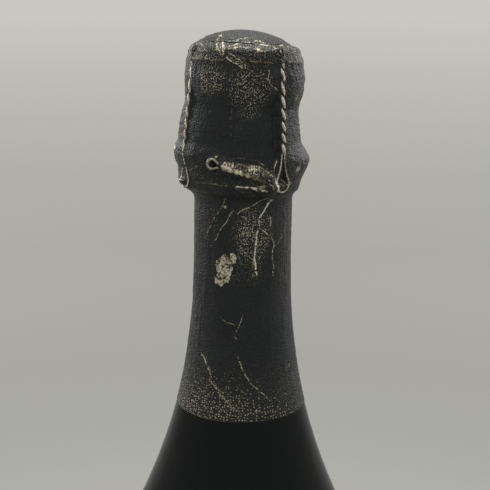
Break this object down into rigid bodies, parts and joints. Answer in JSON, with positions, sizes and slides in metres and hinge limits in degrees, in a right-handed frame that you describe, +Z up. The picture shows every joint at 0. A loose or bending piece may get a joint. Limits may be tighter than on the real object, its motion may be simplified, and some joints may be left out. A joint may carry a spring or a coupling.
{
  "type": "sparkling wine bottle",
  "caption": "Full bottle of sparkling wine with a punt, mushroom cork, twisted wire hood with a folded loop, pressed cap and long crinkled foil.",
  "frame": {"origin": "middle of the flat ring that the bottle stands on", "axes": "+Z up along the bottle's axis; the folded wire loop lies on the -Y side, which is the front"},
  "size_m": [0.088, 0.088, 0.3216],
  "materials": {
    "green_glass": "smooth, very dark green bottle glass",
    "wine": "clear pale gold liquid",
    "cork": "matt agglomerated and natural cork",
    "tinplate": "lacquered pressed tinplate",
    "galvanised_wire": "drawn galvanised steel wire",
    "foil": "crinkled black lacquered foil, worn to bare metal on its ridges"
  },
  "bodies": {
    "bottle": {"glass_bottle": "green_glass", "wine": "wine", "foil_neck": "foil"},
    "cork": {"cork_body": "cork", "cork_disc_upper": "cork", "cork_disc_lower": "cork"},
    "cage": {"cap_plaque": "tinplate", "wire_frame": "galvanised_wire", "belt_wire": "galvanised_wire"},
    "hood": {"foil_hood": "foil", "foil_top_disc": "foil"},
    "loop_root": {"twist_root": "galvanised_wire"},
    "loop": {"twist_loop": "galvanised_wire"}
  },
  "joints": [
    {"name": "cork_pull", "type": "slide", "parent": "bottle", "child": "cork", "axis": [0, 0, 1], "range_m": [0, 0.045]},
    {"name": "cage_lift", "type": "slide", "parent": "cork", "child": "cage", "axis": [0, 0, 1], "range_m": [0, 0.05], "deforming": ["belt_wire"]},
    {"name": "foil_lift", "type": "slide", "parent": "cage", "child": "hood", "axis": [0, 0, 1], "range_m": [0, 0.06], "deforming": ["foil_hood"]},
    {"name": "loop_fold", "type": "hinge", "parent": "cage", "child": "loop_root", "pos_m": [0.0076, -0.01813, 0.2815], "axis": [0, 0, 1], "range_deg": [0, 90]},
    {"name": "loop_untwist", "type": "hinge", "parent": "loop_root", "child": "loop", "pos_m": [0.0076, -0.01813, 0.2815], "axis": [-0.959, 0, 0.2832], "range_deg": [0, 1080]}
  ],
  "couplings": [
    {"joint": "loop_untwist", "follows": "loop_fold", "ratio": 12}
  ]
}
